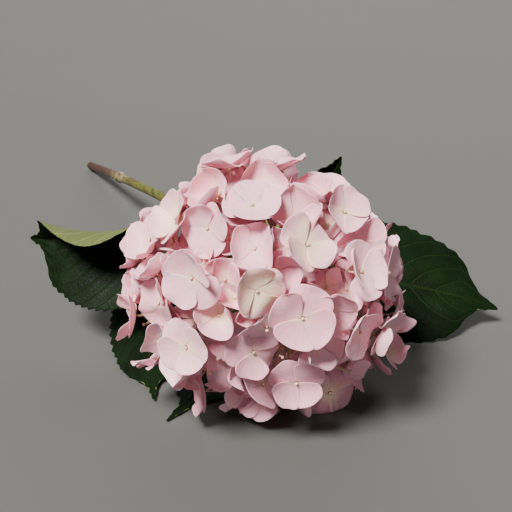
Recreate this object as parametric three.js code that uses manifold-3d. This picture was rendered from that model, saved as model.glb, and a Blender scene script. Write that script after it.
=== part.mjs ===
// A cut hydrangea: one round flower head on its stem, with five leaves, lying on a table.
// Millimetres. +Y runs along the stem from the head to the cut end, and +Z is up.
// Everything is placed from the middle of the flower head on the table, and the whole
// group is centred over its own box at the end.
import * as THREE from 'three';
import { mergeVertices } from 'three/addons/utils/BufferGeometryUtils.js';
import Module from 'manifold-3d';

const wasm = await Module();
wasm.setup();

// ---- Sizes -------------------------------------------------------------------------
const CLEARANCE = 0.3; // between any two pieces that meet

const HEAD_WIDTH = 170; // side to side, over the floret centres
const HEAD_HEIGHT = 160; // table to the uppermost floret centres
const HEAD_FRONT = 66; // middle of the head to its foremost floret centres
const HEAD_BACK = 56; // middle of the head to its rearmost floret centres
const HEAD_MIDDLE_HEIGHT = 78; // table to the middle of the head
const HEAD_MIDDLE_SIDE = 3; // the head leans this far to the right of its stem
const HEAD_WRAP = 116; // degrees that the florets cover, from the front pole backwards
const SHOULDER_DROP = 0.2; // how much the upper right of the head is flattened
const HIP_DROP = 0.22; // how much its lower left is flattened
const HEAD_UNDERCUT = 0.3; // how much the front draws in towards the table
const LOBE_SWELL = 0.05; // how far the head stands out over a main branch, and in between two
const LOBE_SPLAY = 0.8; // how much the florets of a lobe turn away from its middle
const LOBE_REACH = 0.2; // width of a lobe, as the fall of a cosine

const FLORET_COUNT = 118; // places on the spiral that the florets grow on
const FLORET_SPACING = 16.8; // least distance between two floret centres
const FLORET_WIDTH = 32; // across the four sepals
const WIDTH_LEAST = 0.9; // width of the narrowest floret, as a share of that
const WIDTH_SPREAD = 0.25; // how much wider than that the widest floret is
const FLORET_TILT = 0.5; // how far florets turn from the way that the head's surface faces
const FLORET_LIFT = 4; // how far a floret stands above or below the head's surface
const SEPAL_THICKNESS = 1;
const SEPAL_NOTCH = 0.7; // share of the floret's radius left between two sepals
const CORNERS = 12; // corners of a floret's face, three to a sepal

const SPRIG_COUNT = 48; // sprigs of florets that share one fork
const FORK_DEPTH = 0.58; // where a sprig forks, as a share of the way from hub to surface
const FORK_KNOB = 4; // the swelling that a sprig's stalks spring from
const BRANCH_DEPTH = 0.24; // where a main branch divides
const MAIN_BRANCHES = 9;
const BRANCH_WRAP = 0.8; // how far back the main branches reach, as a share of the florets
const STALK_DIAMETER = 1.8;
const SPRIG_DIAMETER = 2.2;
const BRANCH_DIAMETER = 3.2;

const STEM_DIAMETER = 7.7;
const STEM_REACH = 426; // hub to cut end, measured along Y
const STEM_HUB_BEHIND = 30; // the hub lies this far behind the middle of the head
const HUB_RAISE = 17; // the hub lies this far above the middle of the head
const STEM_BOW = 4; // how far the stem bows upwards at half its length
const HUB_DIAMETER = 13;
const NODE_SWELL = 1.5; // how much wider the stem is at a node
const NODE_LENGTH = 13;
const UPPER_NODE = 70; // hub to the pair of side leaves
const LOWER_NODE = 105; // hub to the next leaves
const OLD_NODE = 310; // hub to the bare node near the cut end

const LEAF_THICKNESS = 0.9;
const TOOTH_DEPTH = 2.2;
const LEAF_TEETH = 10; // on each side of a leaf
const PETIOLE_DIAMETER = 3.4;
const LEAF_BED = 4.8; // height of the florets' floor over the leaves under the head
const BED_EDGE = -14; // florets in front of this line reach right down to the table

// ---- Colours -----------------------------------------------------------------------
const material = (color, roughness) => new THREE.MeshStandardMaterial({ color, roughness });
const SEPAL = material(0xe6bcc4, 0.6);
const STALK = material(0xb7b886, 0.6);
const BARK = material(0x6f5f33, 0.55);
const LEAF = material(0x223a17, 0.4);

// ---- Solids ------------------------------------------------------------------------
const point = (x, y, z) => new THREE.Vector3(x, y, z);

function solidOf(geometry) {
  const bare = geometry.clone();
  bare.deleteAttribute('normal');
  bare.deleteAttribute('uv');
  const merged = mergeVertices(bare, 1e-4);
  const vertProperties = new Float32Array(merged.attributes.position.array);
  const triVerts = new Uint32Array(merged.index.array);
  return new wasm.Manifold(new wasm.Mesh({ numProp: 3, vertProperties, triVerts }));
}

function meshOf(name, solid, look) {
  const { vertProperties, triVerts } = solid.getMesh();
  const geometry = new THREE.BufferGeometry();
  geometry.setAttribute('position', new THREE.BufferAttribute(vertProperties, 3));
  geometry.setIndex(new THREE.BufferAttribute(triVerts, 1));
  geometry.computeVertexNormals();
  const mesh = new THREE.Mesh(geometry, look);
  mesh.name = name;
  return mesh;
}

// Moves every vertex of a geometry to where `place` puts it.
function reshape(geometry, place) {
  const { position } = geometry.attributes;
  const vertex = new THREE.Vector3();
  for (let i = 0; i < position.count; i += 1) {
    const moved = place(vertex.fromBufferAttribute(position, i));
    position.setXYZ(i, moved.x, moved.y, moved.z);
  }
  return geometry;
}

function rod(from, to, fromDiameter, toDiameter, sides = 4) {
  const along = to.clone().sub(from);
  const length = along.length();
  const geometry = new THREE.CylinderGeometry(toDiameter / 2, fromDiameter / 2, length, sides);
  const turn = new THREE.Quaternion().setFromUnitVectors(point(0, 1, 0), along.divideScalar(length));
  geometry.applyQuaternion(turn);
  const middle = from.clone().add(to).divideScalar(2);
  geometry.translate(middle.x, middle.y, middle.z);
  return solidOf(geometry);
}

function knob(centre, diameter, detail = 0) {
  const geometry = new THREE.OctahedronGeometry(diameter / 2, detail);
  geometry.translate(centre.x, centre.y, centre.z);
  return solidOf(geometry);
}

const join = (solids) => solids.reduce((whole, next) => whole.add(next));

// The piece that is left of a solid once others are cut away from it.
function trimmed(solid, cutters) {
  let rest = solid;
  for (const cutter of cutters) {
    rest = rest.subtract(cutter);
  }
  const pieces = rest.decompose();
  return pieces.reduce((best, next) => (next.volume() > best.volume() ? next : best));
}

// ---- Stem --------------------------------------------------------------------------
const stemRadius = STEM_DIAMETER / 2;
const hubHeight = HEAD_MIDDLE_HEIGHT + HUB_RAISE;
const hub = point(0, STEM_HUB_BEHIND, hubHeight);

function stemPoint(reach) {
  const share = reach / STEM_REACH;
  const bow = STEM_BOW * Math.sin(Math.PI * share);
  const height = THREE.MathUtils.lerp(hubHeight, stemRadius, share) + bow;
  return point(0, STEM_HUB_BEHIND + reach, height);
}

function stemNode(reach, margin) {
  const half = NODE_LENGTH / 2 + margin;
  const profile = [
    new THREE.Vector2(0, -half),
    new THREE.Vector2(stemRadius * 0.9 + margin, -half),
    new THREE.Vector2(stemRadius + NODE_SWELL + margin, 0),
    new THREE.Vector2(stemRadius * 0.9 + margin, half),
    new THREE.Vector2(0, half),
  ];
  const geometry = new THREE.LatheGeometry(profile, 10);
  const before = stemPoint(reach - 1);
  const along = stemPoint(reach + 1).sub(before).normalize();
  geometry.applyQuaternion(new THREE.Quaternion().setFromUnitVectors(point(0, 1, 0), along));
  const centre = stemPoint(reach);
  geometry.translate(centre.x, centre.y, centre.z);
  return solidOf(geometry);
}

// The stem, or the room that it needs where `margin` is a clearance.
function stemSolid(margin) {
  const start = HUB_DIAMETER / 2 + CLEARANCE;
  const route = new THREE.CatmullRomCurve3(
    [0, 0.25, 0.5, 0.75, 1].map((share) => stemPoint(start + share * (STEM_REACH - start))),
  );
  const section = new THREE.Shape();
  section.absarc(0, 0, stemRadius + margin, 0, 2 * Math.PI);
  const options = { steps: 14, curveSegments: 5, extrudePath: route };
  const tube = solidOf(new THREE.ExtrudeGeometry(section, options));
  const nodes = [UPPER_NODE, LOWER_NODE, OLD_NODE].map((reach) => stemNode(reach, margin));
  return join([tube, ...nodes]);
}

// ---- Places of the florets ---------------------------------------------------------
const GOLDEN_ANGLE = Math.PI * (3 - Math.sqrt(5));
const headAxis = stemPoint(0).sub(stemPoint(UPPER_NODE)).normalize();
const headTurn = new THREE.Quaternion().setFromUnitVectors(point(0, 0, 1), headAxis);
const shoulder = point(0.76, 0, 0.64).normalize();
const hip = point(-0.6, -0.45, -0.66).normalize();

// A repeatable number from 0 to 1 for the floret `index`; `kind` tells its uses apart.
function chance(index, kind) {
  const value = Math.sin(index * 12.9898 + kind * 78.233) * 43758.5453;
  return value - Math.floor(value);
}

// The direction of place `index` of `count` on a spiral that winds back from the pole.
function spiral(index, count, wrap) {
  const height = 1 - ((index + 0.5) / count) * (1 - Math.cos(THREE.MathUtils.degToRad(wrap)));
  const ring = Math.sqrt(1 - height * height);
  const turn = index * GOLDEN_ANGLE;
  return point(ring * Math.cos(turn), ring * Math.sin(turn), height).applyQuaternion(headTurn);
}

// The middles of the head's lobes, one over each main branch.
const lobes = [];
for (let index = 0; index < MAIN_BRANCHES; index += 1) {
  lobes.push(spiral(index, MAIN_BRANCHES, HEAD_WRAP * BRANCH_WRAP));
}

const lobeOf = (direction) => lobes.reduce((best, lobe) => (
  lobe.dot(direction) > best.dot(direction) ? lobe : best));

// The head's surface in a direction from its middle.
function headSurface(direction) {
  const depth = direction.y < 0 ? HEAD_FRONT : HEAD_BACK;
  const height = HEAD_HEIGHT - HEAD_MIDDLE_HEIGHT;
  const fall = (1 - lobeOf(direction).dot(direction)) / LOBE_REACH;
  const flattening = 1
    - SHOULDER_DROP * Math.max(0, direction.dot(shoulder)) ** 4
    - HIP_DROP * Math.max(0, direction.dot(hip)) ** 4
    + LOBE_SWELL * Math.max(1 - 2 * fall, -1);
  const undercut = 1 - HEAD_UNDERCUT * Math.max(0, -direction.z);
  const surface = point(
    direction.x * HEAD_WIDTH * 0.5,
    direction.y * depth * undercut,
    direction.z * height,
  ).multiplyScalar(flattening);
  return surface.add(point(HEAD_MIDDLE_SIDE, 0, HEAD_MIDDLE_HEIGHT));
}

function headNormal(direction) {
  const depth = direction.y < 0 ? HEAD_FRONT : HEAD_BACK;
  const height = HEAD_HEIGHT - HEAD_MIDDLE_HEIGHT;
  const lobe = lobeOf(direction);
  const splay = direction.clone().addScaledVector(lobe, -lobe.dot(direction));
  return point(
    direction.x / HEAD_WIDTH / 0.5,
    direction.y / depth,
    direction.z / height,
  ).normalize().addScaledVector(splay, LOBE_SPLAY).normalize();
}

// The florets that give the head its face: azimuth from the front, elevation, width,
// spin and cupping. Angles are in degrees, and a positive cup opens outwards.
const SHOWN_FLORETS = [
  [-5, 10, 36, 20, -0.05],
  [-23, 22, 31, 50, 0.45],
  [-49, 25, 35, 5, 0.05],
  [-29, 54, 32, 40, 0.1],
  [-77, 45, 33, 15, 0.45],
  [-2, 37, 35, 70, 0.1],
  [20, 22, 33, 30, 0.25],
  [39, 16, 32, 60, 0.1],
  [60, 12, 34, 10, -0.1],
  [30, -4, 32, 45, 0.4],
  [-4, -24, 33, 0, 0],
  [-52, -4, 32, 75, 0.2],
  [-25, -6, 31, 25, 0.1],
];

function shownDirection(azimuth, elevation) {
  const around = THREE.MathUtils.degToRad(azimuth);
  const up = THREE.MathUtils.degToRad(elevation);
  return point(Math.sin(around) * Math.cos(up), -Math.cos(around) * Math.cos(up), Math.sin(up));
}

const floorUnder = (place) => (place.y > BED_EDGE ? LEAF_BED : 0);

function makeFloret(index, direction, width, spin, cup, lift) {
  const normal = headNormal(direction);
  const centre = headSurface(direction).addScaledVector(normal, lift);
  centre.z = Math.max(centre.z, floorUnder(centre) + width / 6);
  const tilt = point(chance(index, 1) - 0.5, chance(index, 2) - 0.5, chance(index, 3) - 0.5);
  normal.addScaledVector(tilt, FLORET_TILT).normalize();
  const across = point(0, 0, 1).cross(normal).normalize().applyAxisAngle(normal, spin);
  const up = normal.clone().cross(across);
  const outward = centre.clone().sub(hub).normalize();
  return { centre, normal, across, up, outward, cup, radius: width / 2 };
}

function placeFlorets() {
  const florets = SHOWN_FLORETS.map(([azimuth, elevation, width, spin, cup], index) => (
    makeFloret(index, shownDirection(azimuth, elevation), width,
      THREE.MathUtils.degToRad(spin), cup, FLORET_LIFT)));
  for (let place = 0; place < FLORET_COUNT; place += 1) {
    const index = SHOWN_FLORETS.length + place;
    const direction = spiral(place, FLORET_COUNT, HEAD_WRAP);
    const width = FLORET_WIDTH * (WIDTH_LEAST + WIDTH_SPREAD * chance(index, 4));
    const spin = chance(index, 5) * Math.PI;
    const cup = 0.5 * chance(index, 6) - 0.1;
    const lift = FLORET_LIFT * (2 * chance(index, 7) - 1);
    const floret = makeFloret(index, direction, width, spin, cup, lift);
    const nearest = Math.min(...florets.map((other) => other.centre.distanceTo(floret.centre)));
    if (nearest > FLORET_SPACING) {
      florets.push(floret);
    }
  }
  return florets;
}

// Shares the florets out to the sprigs: each goes to the sprig that points nearest to it.
function gatherSprigs(florets) {
  const sprigs = [];
  for (let index = 0; index < SPRIG_COUNT; index += 1) {
    const direction = headSurface(spiral(index, SPRIG_COUNT, HEAD_WRAP)).sub(hub).normalize();
    sprigs.push({ direction, florets: [] });
  }
  for (const floret of florets) {
    const nearness = sprigs.map((sprig) => sprig.direction.dot(floret.outward));
    floret.sprig = nearness.indexOf(Math.max(...nearness));
    sprigs[floret.sprig].florets.push(floret);
  }
  return sprigs.filter((sprig) => sprig.florets.length > 0);
}

// ---- Florets -----------------------------------------------------------------------
// A point of the floret's face, at an angle and a distance from its centre.
function facePoint(floret, angle, reach, height) {
  const rise = (floret.cup * reach * reach) / floret.radius + height;
  return floret.centre.clone()
    .addScaledVector(floret.across, Math.cos(angle) * reach)
    .addScaledVector(floret.up, Math.sin(angle) * reach)
    .addScaledVector(floret.normal, rise);
}

// True where a point lies clear of the table and on the floret's side of its neighbours.
function inOwnRoom(floret, place, neighbours) {
  if (place.z < floorUnder(place)) {
    return false;
  }
  const fromHub = place.clone().sub(hub);
  return neighbours.every((other) => {
    const divide = floret.outward.clone().sub(other.outward).normalize();
    return fromHub.dot(divide) >= CLEARANCE / 2;
  });
}

// How far the floret's face reaches at each of its corners.
function sepalReaches(floret, neighbours) {
  const half = SEPAL_THICKNESS / 2;
  const reaches = [];
  for (let corner = 0; corner < CORNERS; corner += 1) {
    const angle = (corner * 2 * Math.PI) / CORNERS;
    let reach = floret.radius * (corner % 3 === 0 ? SEPAL_NOTCH : 1);
    while (reach > STALK_DIAMETER
      && !(inOwnRoom(floret, facePoint(floret, angle, reach, half), neighbours)
        && inOwnRoom(floret, facePoint(floret, angle, reach, -half), neighbours))) {
      reach -= 0.25;
    }
    reaches.push(reach);
  }
  return reaches;
}

// Four sepals on their stalk as one closed shape: the face, its rim, its back round the
// neck of the stalk, and the stalk down to its foot.
function floretSolid(floret, foot, neighbours) {
  const half = SEPAL_THICKNESS / 2;
  const corner = (index) => (index * 2 * Math.PI) / CORNERS;
  const reaches = sepalReaches(floret, neighbours);
  const face = reaches.map((reach, index) => facePoint(floret, corner(index), reach, half));
  const back = reaches.map((reach, index) => facePoint(floret, corner(index), reach, -half));
  const quarters = [0, 3, 6, 9];
  const neck = quarters.map((index) => (
    facePoint(floret, corner(index + 1.5), STALK_DIAMETER / 2, -half)));
  const shift = foot.clone().sub(facePoint(floret, 0, 0, -half));
  const heel = neck.map((place) => place.clone().add(shift));
  const faces = [];
  for (let index = 0; index < CORNERS; index += 1) {
    const next = (index + 1) % CORNERS;
    const quarter = Math.floor(index / 3);
    faces.push([facePoint(floret, 0, 0, half), face[index], face[next]]);
    faces.push([face[index], back[index], back[next]], [face[index], back[next], face[next]]);
    faces.push([back[next], back[index], neck[quarter]]);
  }
  for (let quarter = 0; quarter < 4; quarter += 1) {
    const next = (quarter + 1) % 4;
    faces.push([back[(3 * quarter + 3) % CORNERS], neck[quarter], neck[next]]);
    faces.push([neck[quarter], heel[quarter], heel[next]], [neck[quarter], heel[next], neck[next]]);
  }
  faces.push([heel[2], heel[1], heel[0]], [heel[3], heel[2], heel[0]]);
  return solidOf(new THREE.BufferGeometry().setFromPoints(faces.flat()));
}

function sprigSolid(sprig, florets) {
  const parts = [knob(sprig.fork, FORK_KNOB)];
  for (const floret of sprig.florets) {
    const neighbours = florets.filter((other) => other.sprig !== floret.sprig
      && other.centre.distanceTo(floret.centre) < 4 * FLORET_WIDTH);
    parts.push(floretSolid(floret, sprig.fork, neighbours));
  }
  return join(parts);
}

// ---- Branches inside the head ------------------------------------------------------
// Ends of the main branches, which the sprigs' own branches start from.
function mainEnds() {
  return lobes.map((lobe) => hub.clone().lerp(headSurface(lobe), BRANCH_DEPTH));
}

// Sets where each sprig forks and which main branch bears it.
function routeSprigs(sprigs, ends) {
  for (const sprig of sprigs) {
    const middle = point(0, 0, 0);
    sprig.florets.forEach((floret) => middle.add(floret.centre));
    middle.divideScalar(sprig.florets.length);
    sprig.fork = hub.clone().lerp(middle, FORK_DEPTH);
    sprig.origin = ends.reduce((best, end) => (
      end.distanceTo(sprig.fork) < best.distanceTo(sprig.fork) ? end : best));
  }
}

function branchSolid(sprigs, ends) {
  const parts = [knob(hub, HUB_DIAMETER, 1)];
  for (const end of ends) {
    parts.push(rod(hub, end, BRANCH_DIAMETER * 1.3, BRANCH_DIAMETER));
    parts.push(knob(end, BRANCH_DIAMETER * 1.5));
  }
  for (const sprig of sprigs) {
    const back = sprig.origin.clone().sub(sprig.fork).setLength(FORK_KNOB / 2 + CLEARANCE);
    parts.push(rod(sprig.origin, back.add(sprig.fork), SPRIG_DIAMETER, SPRIG_DIAMETER));
  }
  return join(parts);
}

// ---- Leaves ------------------------------------------------------------------------
// Each spine is the midrib of a blade, from its base to its tip. `across` points from the
// midrib to one side of the blade so that the glossy face looks along spine x across.
// `fold` lifts the two halves of the blade, the `across` side first, and `roll` turns their
// margins over, in degrees. `belly` over 1 moves the widest part towards the tip.
// `columns` is how finely the blade is divided across, and `bed` is the least height of
// its middle surface over the table.
const LEAVES = [
  {
    name: 'leaf_left',
    columns: 6,
    node: UPPER_NODE,
    side: [-1, 0, 0],
    spine: [[-22, 106, 60], [-55, 110, 67], [-88, 130, 71], [-111, 163, 63]],
    across: [0, -0.62, -0.78],
    width: 92,
    fold: [5, 42],
    roll: [0, 160],
    belly: 1,
    bed: 1,
  },
  {
    name: 'leaf_right',
    columns: 4,
    node: UPPER_NODE,
    side: [1, 0, 0],
    spine: [[22, 102, 48], [72, 84, 35], [138, 58, 37], [191, 32, 13]],
    across: [0.1, 0.8, 0.5],
    width: 98,
    fold: [8, -4],
    roll: [0, -30],
    belly: 1.3,
    bed: 1,
  },
  {
    name: 'leaf_rear',
    columns: 6,
    node: LOWER_NODE,
    side: [0.8, 0, 0.6],
    spine: [[24, 136, 50], [60, 130, 60], [90, 120, 88], [103, 112, 112]],
    across: [-0.72, 0.2, 0.66],
    width: 88,
    fold: [30, 5],
    roll: [170, 0],
    belly: 1,
    bed: 1,
  },
  {
    name: 'leaf_under',
    columns: 4,
    node: LOWER_NODE,
    side: [0, 0, -1],
    spine: [[3, 122, 52], [12, 95, 2], [-4, 40, 0], [-65, -2, 1.3]],
    across: [0.56, -0.83, 0],
    width: 72,
    fold: [0, 0],
    roll: [0, 0],
    belly: 1,
    bed: 1,
  },
  {
    name: 'leaf_side',
    columns: 4,
    node: LOWER_NODE,
    side: [-1, 0, 0],
    spine: [[-16, 138, 50], [-40, 142, 2], [-54, 75, 2], [-66, 22, 2]],
    across: [1, 0, 0],
    width: 56,
    fold: [0, 0],
    roll: [0, 0],
    belly: 1,
    bed: 2.9,
  },
];

// Half the width of a blade along its midrib, as a share of its widest.
const leafOutline = (share) => 2.72 * share ** 0.65 * (1 - share) ** 0.8 * (1 - 0.5 * share ** 6);

// A point of the blade: `share` runs along the midrib and `side` from -1 to 1 across it.
function bladePoint(leaf, share, side, halfWidth) {
  const spine = new THREE.CubicBezierCurve3(...leaf.spine.map((row) => point(...row)));
  const along = spine.getTangent(share);
  const across = point(...leaf.across);
  across.addScaledVector(along, -across.dot(along)).normalize();
  const up = along.clone().cross(across);
  const bell = Math.sin(Math.PI * share) ** 2;
  const roll = THREE.MathUtils.degToRad(side > 0 ? leaf.roll[0] : leaf.roll[1]) * bell + 1e-4;
  const fold = THREE.MathUtils.degToRad(side > 0 ? leaf.fold[0] : leaf.fold[1]);
  const reach = Math.abs(side);
  const outwards = (Math.sin(fold + roll * reach) - Math.sin(fold)) / roll;
  const upwards = (Math.cos(fold) - Math.cos(fold + roll * reach)) / roll;
  const place = spine.getPoint(share)
    .addScaledVector(across, Math.sign(side) * outwards * halfWidth)
    .addScaledVector(up, upwards * halfWidth);
  place.z = Math.max(place.z, leaf.bed);
  return place;
}

function leafSolid(leaf, margin) {
  const steps = 2 * LEAF_TEETH;
  const widthAt = (share) => {
    const notch = Math.round(share * steps) % 2 === 0 ? TOOTH_DEPTH : 0;
    const full = (leaf.width / 2) * leafOutline(share ** leaf.belly) - notch;
    return Math.max(full, PETIOLE_DIAMETER / 4) + margin;
  };
  const step = 0.01;
  const blade = new THREE.BoxGeometry(1, 1, 1, steps, leaf.columns, 1);
  reshape(blade, (vertex) => {
    const share = Math.min(Math.max(vertex.x + 0.5, 0), 1);
    const side = 2 * vertex.y;
    const width = widthAt(share);
    const place = bladePoint(leaf, share, side, width);
    const ahead = bladePoint(leaf, Math.min(share + step, 1), side, width);
    ahead.sub(bladePoint(leaf, Math.max(share - step, 0), side, width));
    const beside = bladePoint(leaf, share, side + step, width);
    beside.sub(bladePoint(leaf, share, side - step, width));
    const up = ahead.cross(beside).normalize();
    return place.addScaledVector(up, vertex.z * (LEAF_THICKNESS + 2 * margin));
  });
  const start = stemPoint(leaf.node).addScaledVector(point(...leaf.side), stemRadius / 2);
  const base = point(...leaf.spine[0]);
  const inside = new THREE.CubicBezierCurve3(...leaf.spine.map((row) => point(...row)))
    .getPoint(0.03);
  const diameter = PETIOLE_DIAMETER + 2 * margin;
  return join([
    solidOf(blade),
    rod(start, base, diameter, diameter * 0.8, 6),
    rod(base, inside, diameter * 0.8, diameter * 0.4, 6),
  ]);
}

// ---- Assembly ----------------------------------------------------------------------
const plant = new THREE.Group();
const florets = placeFlorets();
const sprigs = gatherSprigs(florets);
const ends = mainEnds();
routeSprigs(sprigs, ends);

plant.add(meshOf('stem', stemSolid(0), BARK));
plant.add(meshOf('flower_branches', branchSolid(sprigs, ends), STALK));

const taken = [stemSolid(CLEARANCE)];
for (const leaf of LEAVES) {
  plant.add(meshOf(leaf.name, trimmed(leafSolid(leaf, 0), taken), LEAF));
  taken.push(leafSolid(leaf, CLEARANCE));
}

sprigs.forEach((sprig, index) => {
  const name = `floret_sprig_${String(index + 1).padStart(2, '0')}`;
  plant.add(meshOf(name, trimmed(sprigSolid(sprig, florets), taken), SEPAL));
});

const box = new THREE.Box3().setFromObject(plant);
const centre = box.getCenter(point(0, 0, 0));
plant.position.set(-centre.x, -centre.y, -box.min.z);

const hydrangea = new THREE.Group();
hydrangea.add(plant);
export default hydrangea;
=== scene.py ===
"""A cut hydrangea lying on a table: its flower head, branches, five leaves and stem."""
import math

import bmesh
import bpy
from mathutils import Matrix, Vector, noise


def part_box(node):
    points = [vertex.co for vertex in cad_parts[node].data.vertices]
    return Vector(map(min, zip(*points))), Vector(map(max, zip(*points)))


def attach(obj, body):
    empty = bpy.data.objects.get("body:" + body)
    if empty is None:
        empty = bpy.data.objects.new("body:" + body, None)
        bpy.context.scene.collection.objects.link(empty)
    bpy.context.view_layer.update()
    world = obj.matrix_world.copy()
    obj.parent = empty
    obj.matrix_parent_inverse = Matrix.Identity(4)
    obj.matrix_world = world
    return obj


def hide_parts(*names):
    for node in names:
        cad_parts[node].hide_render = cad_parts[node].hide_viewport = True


bl_info = {
    "name": "Cut Hydrangea",
    "version": (1, 0, 0),
    "blender": (4, 5, 0),
    "location": "View3D > Sidebar > Hydrangea",
    "description": "Builds a cut mophead hydrangea from sepals, stalks, toothed leaves and a stem",
    "category": "Object",
}

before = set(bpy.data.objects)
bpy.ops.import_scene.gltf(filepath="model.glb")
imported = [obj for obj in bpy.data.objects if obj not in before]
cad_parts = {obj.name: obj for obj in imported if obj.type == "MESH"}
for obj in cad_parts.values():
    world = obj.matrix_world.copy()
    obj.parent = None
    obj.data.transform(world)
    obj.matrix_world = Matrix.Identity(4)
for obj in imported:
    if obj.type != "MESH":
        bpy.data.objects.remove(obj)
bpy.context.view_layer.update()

MM = 0.001
GOLDEN_ANGLE = math.pi * (3 - math.sqrt(5))


def mm(x, y, z):
    """A place given in millimetres."""
    return Vector((x, y, z)) * MM


# The plant is laid out from a point on the table under the middle of its head. +Y runs
# along the stem to the cut end.
CUT_END = 456.9 * MM
STEM_LOW, STEM_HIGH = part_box("stem")
PLANT_ORIGIN = Vector(((STEM_LOW.x + STEM_HIGH.x) / 2, STEM_HIGH.y - CUT_END, 0))

# The florets that give the head its face: azimuth from the front, elevation, width in
# millimetres, spin, cupping and creaminess. Angles are in degrees, and a positive cup
# opens outwards.
SHOWN_FLORETS = [
    (-5, 10, 36, 20, -0.05, 0.2),
    (-23, 22, 31, 50, 0.2, 1.6),
    (-49, 25, 35, 5, 0.05, 0.3),
    (-29, 54, 32, 40, 0.1, 0.1),
    (-77, 45, 33, 15, 0.45, 1.0),
    (-2, 37, 35, 70, 0.1, 1.2),
    (20, 22, 33, 30, 0.25, 0.1),
    (39, 16, 32, 60, 0.1, 0.0),
    (60, 12, 34, 10, -0.1, 0.0),
    (30, -4, 32, 45, 0.4, 0.0),
    (-4, -24, 33, 0, 0, 0.0),
    (-52, -4, 32, 75, 0.2, 0.5),
    (-25, -6, 31, 25, 0.1, 0.2),
]

# Each leaf's midrib runs along its spine, from the base of the blade to its tip. The blade
# spreads along `across`, so that its glossy face looks along spine x across. `fold` lifts
# the two halves, the `across` side first, and `roll` turns their margins over, in degrees.
# `belly` over 1 moves the widest part towards the tip, `bed` is the blade's least height,
# and `side` is where the leaf's stalk leaves the stem.
LEAVES = {
    "leaf_left": {
        "piece": "left_leaf",
        "node": 70,
        "side": (-1, 0, 0),
        "spine": ((-22, 106, 60), (-55, 110, 67), (-88, 130, 71), (-111, 163, 63)),
        "across": (0, -0.62, -0.78),
        "width": 92,
        "fold": (5, 50),
        "roll": (0, 105),
        "belly": 1,
        "bed": 1,
    },
    "leaf_right": {
        "piece": "right_leaf",
        "node": 70,
        "side": (1, 0, 0),
        "spine": ((22, 102, 48), (72, 84, 35), (138, 58, 37), (191, 32, 13)),
        "across": (0.1, 0.8, 0.5),
        "width": 98,
        "fold": (8, -4),
        "roll": (0, -30),
        "belly": 1.3,
        "bed": 1,
    },
    "leaf_rear": {
        "piece": "rear_leaf",
        "node": 105,
        "side": (0.8, 0, 0.6),
        "spine": ((24, 136, 50), (60, 130, 60), (90, 120, 88), (103, 112, 112)),
        "across": (-0.72, 0.2, 0.66),
        "width": 88,
        "fold": (30, 5),
        "roll": (170, 0),
        "belly": 1,
        "bed": 1,
    },
    "leaf_under": {
        "piece": "under_leaf",
        "node": 105,
        "side": (0, 0, -1),
        "spine": ((3, 122, 52), (12, 95, 2), (-4, 40, 0), (-65, -2, 1.3)),
        "across": (0.56, -0.83, 0),
        "width": 72,
        "fold": (0, 0),
        "roll": (0, 0),
        "belly": 1,
        "bed": 1,
    },
    "leaf_side": {
        "piece": "side_leaf",
        "node": 105,
        "side": (-1, 0, 0),
        "spine": ((-16, 138, 50), (-40, 142, 2), (-54, 75, 2), (-66, 22, 2)),
        "across": (1, 0, 0),
        "width": 56,
        "fold": (0, 0),
        "roll": (0, 0),
        "belly": 1,
        "bed": 2.9,
    },
}


# ---- Settings ----------------------------------------------------------------------------
def length_setting(name, description, millimetres):
    """A length that a user may change."""
    return bpy.props.FloatProperty(
        name=name,
        description=description,
        default=millimetres * MM,
        min=0,
        precision=5,
        subtype="DISTANCE",
        unit="LENGTH",
    )


def share_setting(name, description, default):
    """A share from 0 to 1."""
    return bpy.props.FloatProperty(
        name=name, description=description, default=default, min=0, max=1, subtype="FACTOR"
    )


def colour_setting(name, description, default):
    """A colour that a user may change."""
    return bpy.props.FloatVectorProperty(
        name=name, description=description, default=default, size=3, min=0, max=1, subtype="COLOR"
    )


class HeadSettings(bpy.types.PropertyGroup):
    """The size and crowding of the flower head."""

    width: length_setting("Width", "Side to side, over the floret centres", 170)
    height: length_setting("Height", "Table to the uppermost floret centres", 160)
    front: length_setting("Front", "Middle of the head to its foremost florets", 66)
    back: length_setting("Back", "Middle of the head to its rearmost florets", 56)
    middle_height: length_setting("Middle height", "Table to the middle of the head", 78)
    lean: length_setting("Lean", "How far the head leans to the right of its stem", 3)
    shoulder_drop: share_setting("Shoulder drop", "Flattening of the upper right", 0.2)
    hip_drop: share_setting("Hip drop", "Flattening of the lower left", 0.22)
    undercut: share_setting("Undercut", "How much the front draws in at the table", 0.3)
    lobe_swell: share_setting("Lobe swell", "How far a lobe stands out over its branch", 0.05)
    lobe_splay: share_setting("Lobe splay", "How much a lobe's florets turn outwards", 0.8)
    wrap: bpy.props.FloatProperty(
        name="Wrap",
        description="How far back the florets reach from the head's front pole",
        default=math.radians(116),
        subtype="ANGLE",
        unit="ROTATION",
    )
    places: bpy.props.IntProperty(
        name="Places", description="Places on the spiral that florets grow on", default=118, min=1
    )
    spacing: length_setting("Spacing", "Least distance between two floret centres", 16.8)
    inner_places: bpy.props.IntProperty(
        name="Inner places", description="Places of the inner florets' spiral", default=300, min=1
    )
    inner_depth: length_setting("Inner depth", "Outer florets to the inner ones", 6.5)
    inner_spacing: length_setting("Inner spacing", "Least distance round an inner floret", 10.8)
    sprigs: bpy.props.IntProperty(
        name="Sprigs", description="Sprigs of florets that share one fork", default=48, min=1
    )


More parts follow.
